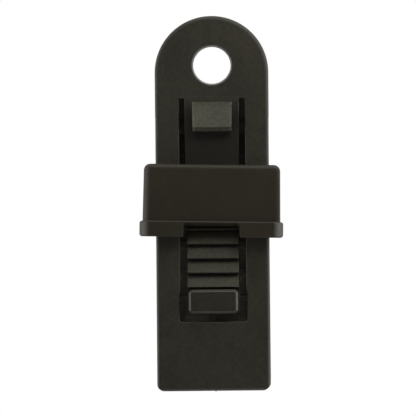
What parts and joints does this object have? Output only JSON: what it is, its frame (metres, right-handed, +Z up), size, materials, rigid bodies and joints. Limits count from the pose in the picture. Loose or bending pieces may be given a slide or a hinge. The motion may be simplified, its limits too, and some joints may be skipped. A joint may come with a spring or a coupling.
{
  "type": "tarp clip",
  "caption": "Moulded two-jaw tarp clip that hangs from a rope eyelet; a ratchet collar slides down over the jaws to shut them, and a tongue with a button frees it.",
  "frame": {"origin": "centre of the eyelet, in the plane where the jaws meet", "axes": "+Z up along the clip from the mouth to the eyelet, -Y out of the front face with the tongue and its button, +X across"},
  "size_m": [0.042, 0.0226, 0.1101],
  "materials": {
    "body_plastic": "olive black moulded plastic, fine satin grain",
    "collar_plastic": "olive black moulded plastic, fine satin grain"
  },
  "bodies": {
    "clip_body": {"front_jaw": "body_plastic", "front_grip": "body_plastic", "hinge_web": "body_plastic"},
    "rear_jaw": {"rear_jaw": "body_plastic", "rear_grip": "body_plastic"},
    "tongue": {"ratchet_tongue": "body_plastic", "ratchet_teeth": "body_plastic", "stop_block": "body_plastic", "release_button": "body_plastic"},
    "collar": {"slide_collar": "collar_plastic", "collar_pawl": "collar_plastic"}
  },
  "joints": [
    {"name": "collar_slide", "type": "slide", "parent": "clip_body", "child": "collar", "axis": [0, 0, 1], "range_m": [-0.017, 0.0094], "deforming": ["ratchet_teeth"]},
    {"name": "jaw_open", "type": "hinge", "parent": "clip_body", "child": "rear_jaw", "pos_m": [0, 0.003, -0.016], "axis": [1, 0, 0], "range_deg": [-5.15, 2.85], "deforming": ["hinge_web"]},
    {"name": "tongue_press", "type": "hinge", "parent": "clip_body", "child": "tongue", "pos_m": [0, -0.0039, -0.0105], "axis": [1, 0, 0], "range_deg": [0, 2.6], "stiffness_Nm_per_rad": 1.6}
  ],
  "couplings": [
    {"joint": "jaw_open", "follows": "collar_slide", "rad_per_m": 5.2888}
  ]
}
